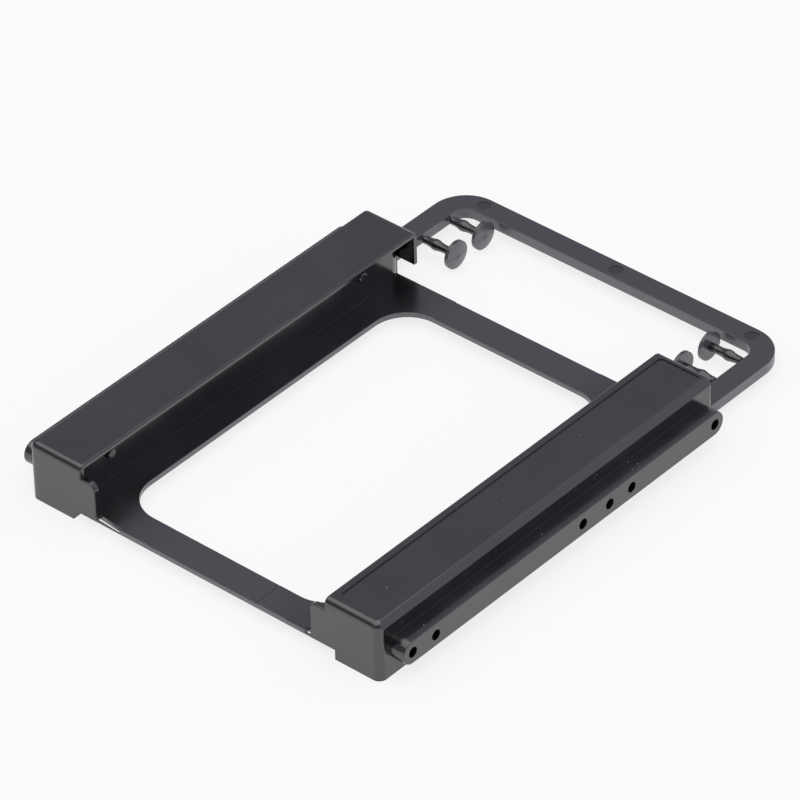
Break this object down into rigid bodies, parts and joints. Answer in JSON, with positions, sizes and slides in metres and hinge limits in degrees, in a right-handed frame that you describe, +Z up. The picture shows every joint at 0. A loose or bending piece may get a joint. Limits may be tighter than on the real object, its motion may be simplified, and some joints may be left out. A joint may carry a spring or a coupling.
{
  "type": "drive bay adapter bracket",
  "caption": "Moulded plastic bracket that holds a small drive between hollow side channels and screws into a wider drive bay by its rails, with push pins on a rear runner loop.",
  "frame": {"origin": "under the middle of the whole moulding, on the plane that its feet stand on", "axes": "+X to the right-hand channel, +Y from the front stops to the runner loop, +Z up"},
  "size_m": [0.1016, 0.1312, 0.0142],
  "materials": {
    "black_plastic": "semi-gloss, as moulded"
  },
  "bodies": {
    "root": {"adapter_bracket": "black_plastic"}
  },
  "joints": []
}
